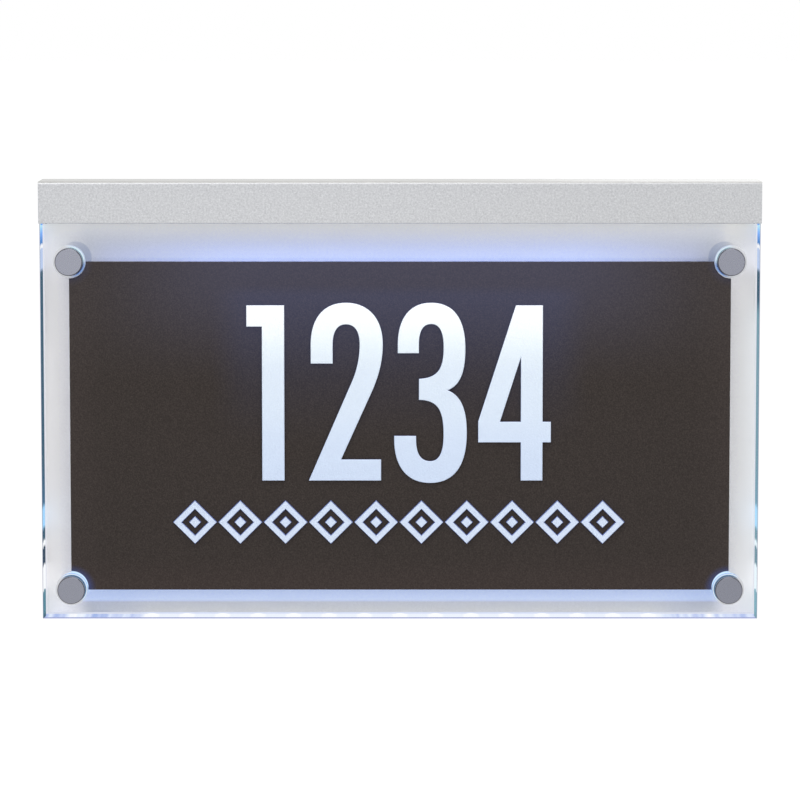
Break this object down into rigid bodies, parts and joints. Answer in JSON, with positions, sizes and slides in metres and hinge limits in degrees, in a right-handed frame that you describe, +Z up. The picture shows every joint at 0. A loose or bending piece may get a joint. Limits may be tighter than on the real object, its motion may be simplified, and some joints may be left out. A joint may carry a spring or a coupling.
{
  "type": "illuminated house number sign",
  "caption": "wall sign with a dark number plate on a clear edge-lit panel, held by round standoffs under an aluminium lamp rail",
  "frame": {"origin": "on the wall plane, at the middle of the wall bracket's screw holes", "axes": "+X to the right seen from the street, +Y into the wall, +Z up; the number faces -Y"},
  "size_m": [0.416, 0.0415, 0.254],
  "materials": {
    "blasted_aluminium": "fine blasted, anodised",
    "stainless_steel": "bright",
    "white_circuit_board": "white solder mask",
    "led_lens": "clear over phosphor",
    "black_plastic": "fine texture",
    "black_rubber": "matt",
    "clear_acrylic": "polished",
    "white_panel": "satin white",
    "bronze_paint": "fine textured dark bronze",
    "clear_nylon": "frosted clear",
    "satin_steel": "satin",
    "galvanised_steel": "zinc plated",
    "brass": "bright"
  },
  "bodies": {
    "sign": {"back_panel": "white_panel", "cable_grommet": "black_rubber", "clear_panel": "clear_acrylic", "driver_screws": "stainless_steel", "end_plate_screws": "stainless_steel", "front_gasket": "black_rubber", "lead_connector": "black_plastic", "lead_grommet": "black_rubber", "led_board": "white_circuit_board", "led_driver": "black_plastic", "led_emitters": "led_lens", "number_plate": "bronze_paint", "panel_clamp_screws": "stainless_steel", "plate_studs": "stainless_steel", "rail_body": "blasted_aluminium", "rail_end_plate_left": "blasted_aluminium", "rail_end_plate_right": "blasted_aluminium", "rear_gasket": "black_rubber", "standoff_sleeves": "stainless_steel", "stud_nuts": "stainless_steel", "stud_washers": "stainless_steel", "terminal_block": "black_plastic", "terminal_screws": "brass", "wall_bracket": "galvanised_steel", "wall_bumpers": "black_rubber"},
    "upper_left_washer": {"cap_washer_upper_left": "clear_nylon"},
    "upper_left_cap": {"standoff_cap_upper_left": "satin_steel"},
    "upper_right_washer": {"cap_washer_upper_right": "clear_nylon"},
    "upper_right_cap": {"standoff_cap_upper_right": "satin_steel"},
    "lower_left_washer": {"cap_washer_lower_left": "clear_nylon"},
    "lower_left_cap": {"standoff_cap_lower_left": "satin_steel"},
    "lower_right_washer": {"cap_washer_lower_right": "clear_nylon"},
    "lower_right_cap": {"standoff_cap_lower_right": "satin_steel"}
  },
  "joints": [
    {"name": "upper_left_cap_travel", "type": "slide", "parent": "sign", "child": "upper_left_washer", "axis": [0, -1, 0], "range_m": [0, 0.006]},
    {"name": "upper_left_cap_turn", "type": "hinge", "parent": "upper_left_washer", "child": "upper_left_cap", "pos_m": [-0.1905, -0.0365, 0.012], "axis": [0, -1, 0], "range_deg": [0, 2160]},
    {"name": "upper_right_cap_travel", "type": "slide", "parent": "sign", "child": "upper_right_washer", "axis": [0, -1, 0], "range_m": [0, 0.006]},
    {"name": "upper_right_cap_turn", "type": "hinge", "parent": "upper_right_washer", "child": "upper_right_cap", "pos_m": [0.1905, -0.0365, 0.012], "axis": [0, -1, 0], "range_deg": [0, 2160]},
    {"name": "lower_left_cap_travel", "type": "slide", "parent": "sign", "child": "lower_left_washer", "axis": [0, -1, 0], "range_m": [0, 0.006]},
    {"name": "lower_left_cap_turn", "type": "hinge", "parent": "lower_left_washer", "child": "lower_left_cap", "pos_m": [-0.1905, -0.0365, -0.1785], "axis": [0, -1, 0], "range_deg": [0, 2160]},
    {"name": "lower_right_cap_travel", "type": "slide", "parent": "sign", "child": "lower_right_washer", "axis": [0, -1, 0], "range_m": [0, 0.006]},
    {"name": "lower_right_cap_turn", "type": "hinge", "parent": "lower_right_washer", "child": "lower_right_cap", "pos_m": [0.1905, -0.0365, -0.1785], "axis": [0, -1, 0], "range_deg": [0, 2160]}
  ],
  "couplings": [
    {"joint": "upper_left_cap_travel", "follows": "upper_left_cap_turn", "m_per_rad": 0.00015915},
    {"joint": "upper_right_cap_travel", "follows": "upper_right_cap_turn", "m_per_rad": 0.00015915},
    {"joint": "lower_left_cap_travel", "follows": "lower_left_cap_turn", "m_per_rad": 0.00015915},
    {"joint": "lower_right_cap_travel", "follows": "lower_right_cap_turn", "m_per_rad": 0.00015915}
  ]
}
